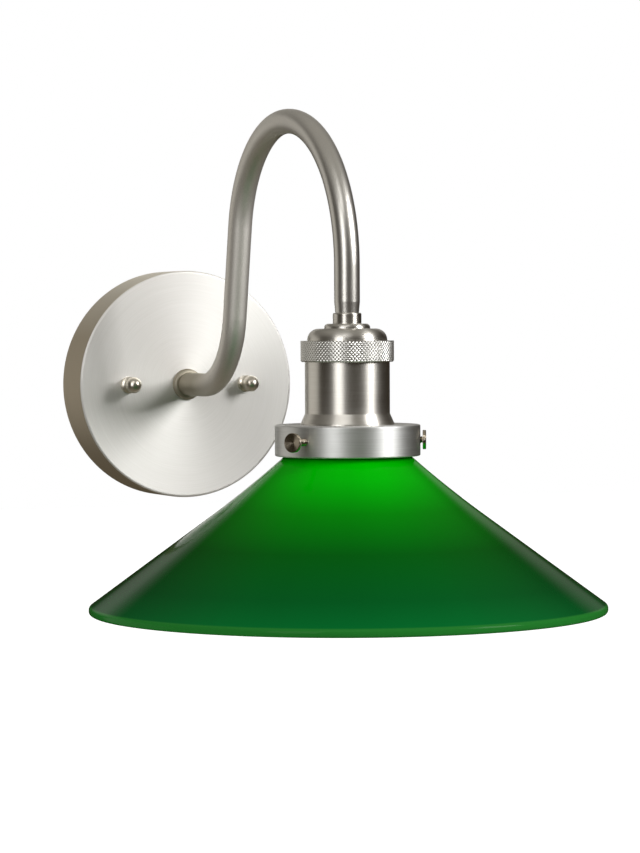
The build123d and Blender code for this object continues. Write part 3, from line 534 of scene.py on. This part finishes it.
def thumbscrew_mesh(node_name, outwards):
    """Thread and head as rings round the screw's axis, from the tip to the middle of the dish.
    The map runs round the screw in u and along its outline in v, in metres."""
    low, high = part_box(node_name)
    axis_foot = Vector((socket_middle.x, socket_middle.y, (low.z + high.z) / 2))
    reach = [(v.co - axis_foot).dot(outwards) for v in nodes[node_name].data.vertices]
    tip, top = min(reach), max(reach)
    head_r = (high.z - low.z) / 2
    head_foot = top - HEAD_THICK
    upwards = Vector((0, 0, 1))
    across = (upwards, outwards.cross(upwards))
    mesh = bmesh.new()
    mapping = mesh.loops.layers.uv.new("turned")

    def turned_part(outline):
        """A part closed at both ends. Outline holds each ring's radii, depth and v on the map."""
        rings = [turned_ring(mesh, axis_foot + outwards * depth, across, radii)
                 for radii, depth, _ in outline]
        runs = [run for _, _, run in outline]
        mesh.faces.new(rings[0])
        for first, second, start, end in zip(rings, rings[1:], runs, runs[1:]):
            for i, face in enumerate(join_rings(mesh, first, second)):
                turns = (i, i + 1, i + 1, i)
                for loop, turn, run in zip(face.loops, turns, (start, start, end, end)):
                    loop[mapping].uv = (turn / len(first), run)
        mesh.faces.new(rings[-1])

    def thread_radius(depth, turn):
        """Radius of the shank at a depth and a share of a turn."""
        fade = min(1, (depth - tip) / THREAD_RUN_IN, (head_foot - depth) / THREAD_RUN_IN)
        crest = fade * (1 - triangle_wave(depth / THREAD_PITCH - turn))
        return SCREW_SHANK_R - THREAD_DEPTH * (1 - crest)

    shank = []
    steps = round((head_foot - tip) / THREAD_PITCH * THREAD_STEPS)
    for step in range(steps + 1):
        depth = tip + (head_foot - tip) * step / steps
        radii = [thread_radius(depth, i / THREAD_SIDES) for i in range(THREAD_SIDES)]
        shank.append((radii, depth, depth))
    turned_part(shank)
    corners = [
        (head_r - HEAD_EDGE, head_foot), (head_r, head_foot + HEAD_EDGE),
        (head_r, top - HEAD_EDGE), (head_r - HEAD_EDGE, top), (head_r - DISH_RIM, top),
        (DISH_MIDDLE_R, top - DISH_DEPTH),
    ]
    head, run = [], top
    for k, (radius, depth) in enumerate(corners):
        if k:
            run += hypot(radius - corners[k - 1][0], depth - corners[k - 1][1])
        head.append(([radius] * HEAD_SIDES, depth, run))
    turned_part(head)
    bmesh.ops.recalc_face_normals(mesh, faces=mesh.faces)
    return mesh


def turned_nickel():
    """Nickel over fine lathe marks, so the shine runs across them."""
    finish, tree = new_finish("turned_nickel")
    mapped = add(tree, "ShaderNodeUVMap", uv_map="turned").outputs[0]
    outline = add(tree, "ShaderNodeSeparateXYZ", {0: mapped}).outputs["Y"]
    rows = add(tree, "ShaderNodeMath", {0: outline, 1: 1 / LATHE_MARK}, operation="MULTIPLY")
    marks = add(tree, "ShaderNodeTexNoise", {
        "W": rows.outputs[0], "Scale": 1.0, "Detail": 2.0}, noise_dimensions="1D")
    place = add(tree, "ShaderNodeTexCoord").outputs["Object"]
    plate = add(tree, "ShaderNodeTexNoise", {
        "Vector": place, "Scale": 1 / PLATE_PATCH, "Detail": 2.0}).outputs["Fac"]
    shade = add(tree, "ShaderNodeMix", {
        SHARE: plate, AT_0: linear("#ab9f8b"), AT_1: linear("#c9bfae")}, data_type="RGBA")
    shine = add(tree, "ShaderNodeMapRange", {"Value": plate, "To Min": 0.22, "To Max": 0.28})
    bump = add(tree, "ShaderNodeBump", {
        "Height": marks.outputs["Fac"], "Strength": 0.6, "Distance": 0.02 * MM})
    run_round = add(tree, "ShaderNodeTangent", direction_type="UV_MAP", uv_map="turned")
    metal = add(tree, "ShaderNodeBsdfPrincipled", {
        "Base Color": shade.outputs[MIXED], "Metallic": 1.0,
        "Roughness": shine.outputs["Result"], "Anisotropic": 0.8, "Anisotropic Rotation": 0.25,
        "Normal": bump.outputs["Normal"], "Tangent": run_round.outputs[0]})
    add(tree, "ShaderNodeOutputMaterial", {"Surface": metal.outputs[0]})
    return finish


screw_nickel = turned_nickel()
slide_axes = {joint["child"]: Vector(joint["axis"]) for joint in frame["joints"]}
for screw_name in ("thumbscrew_left", "thumbscrew_right", "thumbscrew_back"):
    outwards = slide_axes[screw_name].normalized()
    screw_mesh = thumbscrew_mesh(screw_name, outwards)
    screw = new_piece(f"threaded_{screw_name}", screw_mesh, screw_nickel, smooth_below=35)
    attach(screw, screw_name)
    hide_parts(screw_name)

# ---- glass shade -----------------------------------------------------------------------------
# Blown glass in two layers, green over opal white, spun out from a fitter neck to a cone that
# flares gently at its top, with a fire-polished rim. The green is painted brightest near the
# neck, as painted light for the lit bulb glowing through, and deepens down the cone, and inside
# only the white shows.

LIP_R = 28.6 * MM           # 2-1/4 in fitter neck
GLASS_TOP_Z = -17.1 * MM
LIP_BOTTOM_Z = -19.5 * MM
LIP_ROUND = 1.1 * MM
GROOVE_R = 23.1 * MM
GROOVE_TOP_Z = -19.8 * MM
GROOVE_BOTTOM_Z = -26.6 * MM
GROOVE_ROUND = 1.5 * MM
NECK_BORE_R = 20.7 * MM
NECK_BORE_Z = -29.8 * MM
NECK_ROUND = 2 * MM
SHOULDER = Vector((25.2, -31.4)) * MM
SHOULDER_ROUND = 3 * MM
CONE_TOP = Vector((28.8, -29.4)) * MM
CONE_TOP_ROUND = 1 * MM
CONE_STRAIGHT = Vector((60.0, -54.6)) * MM      # from here out the cone is straight
RIM_TOP_Z = -95.5 * MM
RIM_TOP_ROUND = 1.9 * MM
RIM_FOOT_ROUND = 1.3 * MM
RIM_WIDTH = 1.4 * MM        # the band that lets light through
GLASS_DROP = Vector((0, -4.3)) * MM             # thickness of the cone, measured upright
SHADE_SIDES = 240
NECK_STEPS = 8
ROUND_STEPS = 5

glass_low, glass_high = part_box("glass_shade")
SHADE_R = (glass_high.x - glass_low.x) / 2
rim_top = Vector((SHADE_R, RIM_TOP_Z))


def tangent_arc(start, end, along, steps):
    """Points of the arc that leaves its start in one direction and meets its end."""
    along = along.normalized()
    across = Vector((-along.y, along.x))
    chord = end - start
    turn = 2 * atan2(chord.dot(across), chord.dot(along))
    radius = chord.length_squared / (2 * chord.dot(across))
    angles = [turn * step / steps for step in range(steps + 1)]
    return [start + radius * (sin(angle) * along + (1 - cos(angle)) * across) for angle in angles]


def rounded(corners):
    """Outline with each corner rounded to its own radius."""
    points = []
    for i, (corner, radius) in enumerate(corners):
        if not radius:
            points.append(corner)
            continue
        arriving = (corner - corners[i - 1][0]).normalized()
        leaving = (corners[(i + 1) % len(corners)][0] - corner).normalized()
        cut = radius * tan(arriving.angle(leaving) / 2)
        start, end = corner - arriving * cut, corner + leaving * cut
        points += tangent_arc(start, end, arriving, ROUND_STEPS)
    return points


def shade_mesh():
    """The glass spun from its outline, with the green skin as material 0 and the opal as 1."""
    flare = tangent_arc(CONE_STRAIGHT, CONE_TOP, CONE_STRAIGHT - rim_top, NECK_STEPS)[:-1]
    outer = [
        (Vector((LIP_R, GLASS_TOP_Z)), LIP_ROUND), (Vector((LIP_R, LIP_BOTTOM_Z)), LIP_ROUND),
        (Vector((GROOVE_R, GROOVE_TOP_Z)), 0), (Vector((GROOVE_R, GROOVE_BOTTOM_Z)), GROOVE_ROUND),
        (CONE_TOP, CONE_TOP_ROUND),
    ]
    outer += [(point, 0) for point in reversed(flare)]
    outer += [(rim_top, RIM_TOP_ROUND), (rim_top + GLASS_DROP, RIM_FOOT_ROUND)]
    inner = [(point + GLASS_DROP, 0) for point in flare]
    inner += [
        (SHOULDER, SHOULDER_ROUND), (Vector((NECK_BORE_R, NECK_BORE_Z)), NECK_ROUND),
        (Vector((NECK_BORE_R, GLASS_TOP_Z)), LIP_ROUND),
    ]
    outline = rounded(outer + inner)
    # The green ends at the lowest point of the rim, and the outermost one where several are level.
    last_green = max(
        range(len(outline)), key=lambda i: (-round(outline[i].y, 7), outline[i].x))
    mesh = bmesh.new()
    rings = [turned_ring(mesh, (socket_middle.x, socket_middle.y, point.y), ACROSS_SOCKET,
                         [point.x] * SHADE_SIDES) for point in outline]
    for j, (upper, lower) in enumerate(zip(rings, rings[1:] + rings[:1])):
        for face in join_rings(mesh, upper, lower):
            face.material_index = int(j >= last_green)
    bmesh.ops.recalc_face_normals(mesh, faces=mesh.faces)
    return mesh


def blown_glass(tree, colour, direction, radius, gloss):
    """Glossy glass with the faint ripple of blowing, that runs round it."""
    ripple = add(tree, "ShaderNodeTexNoise", {
        "Vector": direction, "W": radius, "Scale": 6.0, "Detail": 1.0}, noise_dimensions="4D")
    bump = add(tree, "ShaderNodeBump", {
        "Height": ripple.outputs["Fac"], "Strength": 0.3, "Distance": 0.2 * MM})
    glass = add(tree, "ShaderNodeBsdfPrincipled", {
        "Base Color": colour, "Roughness": 0.1, "IOR": 1.5, "Specular IOR Level": gloss,
        "Normal": bump.outputs["Normal"]})
    add(tree, "ShaderNodeOutputMaterial", {"Surface": glass.outputs[0]})


def green_glass():
    """Green skin: painted light makes it brightest near the neck, as the bulb glows through it,
    and it deepens down the cone. It looks darker where the eye meets it at a slant, through more
    of the green. Faint streaks run down from the neck, and the rim lets some light through. Its
    surface reflects very little."""
    finish, tree = new_finish("green_cased_glass")
    direction, radius, height = about_axis(tree, socket_middle, "Z")
    down = add(tree, "ShaderNodeMapRange", {
        "Value": height, "From Min": CONE_TOP.y - socket_middle.z,
        "From Max": glass_low.z - socket_middle.z})
    # Painted light: the bright green near the neck stands for the bulb's glow, fading down the
    # cone.
    body = add(tree, "ShaderNodeValToRGB", {"Fac": down.outputs["Result"]})
    stops = body.color_ramp.elements
    for position, code in ((0.12, "#009a03"), (0.32, "#016f04"), (0.55, "#014c0a"),
                           (0.8, "#014a18")):
        stops.new(position).color = linear(code)
    stops[0].color = linear("#00a400")
    stops[-1].color = linear("#025a24")
    streaks = add(tree, "ShaderNodeTexNoise", {
        "Vector": direction, "W": radius, "Scale": 3.0, "Detail": 3.0}, noise_dimensions="4D")
    streak_tint = add(tree, "ShaderNodeMapRange", {
        "Value": streaks.outputs["Fac"], "To Min": 0.92, "To Max": 1.08})
    slant = add(tree, "ShaderNodeLayerWeight", {"Blend": 0.5})
    slant_tint = add(tree, "ShaderNodeMapRange", {
        "Value": slant.outputs["Facing"], "From Min": 0.38, "From Max": 0.72, "To Min": 1.0,
        "To Max": 0.6})
    tint = add(tree, "ShaderNodeMath", {
        0: streak_tint.outputs["Result"], 1: slant_tint.outputs["Result"]}, operation="MULTIPLY")
    green = add(tree, "ShaderNodeVectorMath", {
        0: body.outputs["Color"], "Scale": tint.outputs[0]}, operation="SCALE")
    rim = add(tree, "ShaderNodeMapRange", {
        "Value": radius, "From Min": SHADE_R - RIM_WIDTH, "From Max": SHADE_R - 0.5 * RIM_WIDTH})
    colour = add(tree, "ShaderNodeMix", {
        SHARE: rim.outputs["Result"], AT_0: green.outputs[0], AT_1: linear("#1d6423")},
        data_type="RGBA")
    blown_glass(tree, colour.outputs[MIXED], direction, radius, gloss=0.035)
    return finish


def opal_glass():
    """Opal inner layer: warm white, a little uneven, and glossy."""
    finish, tree = new_finish("opal_glass")
    direction, radius, _ = about_axis(tree, socket_middle, "Z")
    cloud = add(tree, "ShaderNodeTexNoise", {
        "Vector": direction, "W": radius, "Scale": 4.0, "Detail": 2.0}, noise_dimensions="4D")
    colour = add(tree, "ShaderNodeMix", {
        SHARE: cloud.outputs["Fac"], AT_0: linear("#ecebe3"), AT_1: linear("#f5f4ef")},
        data_type="RGBA")
    blown_glass(tree, colour.outputs[MIXED], direction, radius, gloss=0.5)
    return finish


shade = new_piece("blown_glass_shade", shade_mesh(), green_glass(), smooth_below=40)
shade.data.materials.append(opal_glass())
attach(shade, "fixture")
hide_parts("glass_shade")

# ---- bulb ------------------------------------------------------------------------------------
# A round bulb with a white coating inside its glass, a rolled aluminium screw cap, a black glass
# insulator and a dab of solder for its contact.

POWDER_PATCH = 3 * MM


def coated_bulb_glass():
    """Thin clear glass over a white powder coat."""
    finish, tree = new_finish("coated_bulb_glass")
    place = add(tree, "ShaderNodeTexCoord").outputs["Object"]
    powder = add(tree, "ShaderNodeTexNoise", {
        "Vector": place, "Scale": 1 / POWDER_PATCH, "Detail": 4.0})
    colour = add(tree, "ShaderNodeMix", {
        SHARE: powder.outputs["Fac"], AT_0: linear("#e9e6dd"), AT_1: linear("#f4f2ec")},
        data_type="RGBA")
    glass = add(tree, "ShaderNodeBsdfPrincipled", {
        "Base Color": colour.outputs[MIXED], "Roughness": 0.2, "IOR": 1.5, "Coat Weight": 0.6,
        "Coat Roughness": 0.04})
    add(tree, "ShaderNodeOutputMaterial", {"Surface": glass.outputs[0]})
    return finish


dress(coated_bulb_glass(), "bulb_glass")
dress(thin_metal("rolled_aluminium", "#cfd0d1", "#b4b6b8"), "bulb_screw_cap")
dress(moulded("black_glass", "#0c0c10", "#07070a", rough=0.14), "bulb_insulator")
dress(thin_metal("solder", "#a9abac", "#85888a"), "bulb_contact")

# ---- studio ----------------------------------------------------------------------------------
# A plain pale floor under the lamp, and three soft boxes: one on each side, and a smaller one
# high in front. Only reflections show the room: it is dim, with a pale ceiling, a white cloth
# behind the lamp and a white card behind its left, which draw bright and dark bands on the metal.

FLOOR_Z = -0.45
FLOOR_HALF = 6.0
FLOOR_GLOW = 0.8            # brings the lit paper up to white for the camera
SOFT_BOX_DISTANCE = 1.6

floor_mesh = bmesh.new()
for x, y in ((-1, -1), (1, -1), (1, 1), (-1, 1)):
    floor_mesh.verts.new((x * FLOOR_HALF, y * FLOOR_HALF, FLOOR_Z))
floor_mesh.faces.new(floor_mesh.verts)


def seen_directly(tree):
    """Light paths, and 1 for what the camera sees, straight or through glass."""
    path = add(tree, "ShaderNodeLightPath")
    direct = add(tree, "ShaderNodeMath", {
        0: path.outputs["Is Camera Ray"], 1: path.outputs["Is Transmission Ray"]},
        operation="MAXIMUM")
    return path, direct.outputs[0]


def pale_floor():
    """Matt paper that shows white to the camera, and still takes the lamp's shadow."""
    finish, tree = new_finish("pale_floor")
    _, direct = seen_directly(tree)
    glow = add(tree, "ShaderNodeMath", {0: direct, 1: FLOOR_GLOW}, operation="MULTIPLY")
    paper = add(tree, "ShaderNodeBsdfPrincipled", {
        "Base Color": linear("#cfcfcd"), "Roughness": 0.9, "Specular IOR Level": 0.2,
        "Emission Color": linear("#ffffff"), "Emission Strength": glow.outputs[0]})
    add(tree, "ShaderNodeOutputMaterial", {"Surface": paper.outputs[0]})
    return finish


floor = new_piece("pale_floor", floor_mesh, pale_floor())
floor.visible_glossy = False    # metal sees the dark room below it

lamp_middle = Vector((0, socket_middle.y / 2, 0))


def from_bearing(azimuth, elevation):
    """Direction from the object. Azimuth 0 is straight out from the wall, and grows towards +X."""
    azimuth, elevation = radians(azimuth), radians(elevation)
    return Vector((sin(azimuth) * cos(elevation), -cos(azimuth) * cos(elevation), sin(elevation)))


# Each soft box faces the object. Level is its own brightness, where 1 is white.
for name, azimuth, elevation, width, height, level in (
    ("right_soft_box", 42, 23, 0.52, 0.7, 16.5),
    ("left_soft_box", -45, 14, 0.6, 1.2, 3.4),
    ("front_soft_box", -24, 46, 0.5, 0.4, 2.6),
):
    light = bpy.data.lights.new(name, "AREA")
    light.shape = "RECTANGLE"
    light.size = width
    light.size_y = height
    light.energy = level * pi * width * height
    soft_box = bpy.data.objects.new(name, light)
    bpy.context.scene.collection.objects.link(soft_box)
    away = from_bearing(azimuth, elevation)
    soft_box.location = lamp_middle + away * SOFT_BOX_DISTANCE
    soft_box.rotation_euler = away.to_track_quat("Z", "Y").to_euler()
    soft_box.visible_camera = False

world = bpy.data.worlds.new("studio_room")
bpy.context.scene.world = world
world.use_nodes = True
tree = world.node_tree
tree.nodes.clear()
ray = add(tree, "ShaderNodeTexCoord").outputs["Generated"]
ray_z = add(tree, "ShaderNodeSeparateXYZ", {0: ray}).outputs["Z"]
towards = {}
for name, bearing in (
    ("cloth", from_bearing(182, 0)), ("card", from_bearing(226, -5)),
    ("fill", from_bearing(-100, 30)),
):
    towards[name] = add(tree, "ShaderNodeVectorMath", {0: ray, 1: bearing},
                        operation="DOT_PRODUCT").outputs["Value"]

# Where each part of the room starts and where it is full: the sine of its height above the
# horizon, or the cosine of the angle to its middle.
part = {}
for name, value, start, full in (
    ("ceiling", ray_z, 0.4, 0.8),
    ("floor", ray_z, -0.35, -0.8),
    ("cloth", towards["cloth"], 0.5, 0.75),
    ("cloth_foot", ray_z, 0.1, 0.32),
    ("cloth_top", ray_z, 0.48, 0.36),
    ("card", towards["card"], 0.88, 0.93),
    ("fill", towards["fill"], -1.0, 1.0),
):
    part[name] = add(tree, "ShaderNodeMapRange", {
        "Value": value, "From Min": start, "From Max": full}).outputs["Result"]
white = part["cloth"]
for name, operation in (("cloth_foot", "MULTIPLY"), ("cloth_top", "MULTIPLY"),
                        ("card", "MAXIMUM")):
    white = add(tree, "ShaderNodeMath", {0: white, 1: part[name]}, operation=operation).outputs[0]

# Reflections show the room. Matt surfaces get an even light, a little stronger from the left, and
# the camera sees plain white.
path, direct = seen_directly(tree)
light = linear("#2c251b")
for share, code in (
    (part["ceiling"], "#9f9c95"), (part["floor"], "#736c5f"), (white, "#d4d1ca"),
):
    light = add(tree, "ShaderNodeMix", {SHARE: share, AT_0: light, AT_1: linear(code)},
                data_type="RGBA").outputs[MIXED]
fill = add(tree, "ShaderNodeMix", {
    SHARE: part["fill"], AT_0: linear("#959595"), AT_1: linear("#e2e2e2")}, data_type="RGBA")
light = add(tree, "ShaderNodeMix", {
    SHARE: path.outputs["Is Glossy Ray"], AT_0: fill.outputs[MIXED], AT_1: light},
    data_type="RGBA")
light = add(tree, "ShaderNodeMix", {
    SHARE: direct, AT_0: light.outputs[MIXED], AT_1: linear("#ffffff")}, data_type="RGBA")
sky = add(tree, "ShaderNodeBackground", {"Color": light.outputs[MIXED], "Strength": 1.0})
add(tree, "ShaderNodeOutputWorld", {"Surface": sky.outputs[0]})

bpy.context.scene.view_settings.view_transform = "Standard"

# ---- camera ----------------------------------------------------------------------------------
# A long lens, about 1.5 m from the lamp and a little to its left, almost level with the socket.
# Its place, turn and slight roll were fitted to the photograph's view.

CAMERA_AT = Vector((-558.6, -1435.1, 29.6)) * MM
CAMERA_AZIMUTH = radians(-24.15)
CAMERA_PITCH = radians(1.94)
CAMERA_ROLL = radians(-0.26)
SENSOR = 36.0
IMAGE_WIDTH = 640
FOCAL_PIXELS = 3000
back = Vector((sin(CAMERA_AZIMUTH) * cos(CAMERA_PITCH), -cos(CAMERA_AZIMUTH) * cos(CAMERA_PITCH),
               sin(CAMERA_PITCH)))
level_right = Vector((cos(CAMERA_AZIMUTH), sin(CAMERA_AZIMUTH), 0))
level_up = back.cross(level_right)
right = cos(CAMERA_ROLL) * level_right + sin(CAMERA_ROLL) * level_up
up = -sin(CAMERA_ROLL) * level_right + cos(CAMERA_ROLL) * level_up
camera_data = bpy.data.cameras.new("photograph_view")
camera_data.sensor_fit = "HORIZONTAL"
camera_data.sensor_width = SENSOR
camera_data.lens = FOCAL_PIXELS * SENSOR / IMAGE_WIDTH
camera = bpy.data.objects.new("photograph_view", camera_data)
bpy.context.scene.collection.objects.link(camera)
turned = Matrix((right, up, back)).transposed().to_4x4()
camera.matrix_world = Matrix.Translation(CAMERA_AT) @ turned
bpy.context.scene.camera = camera
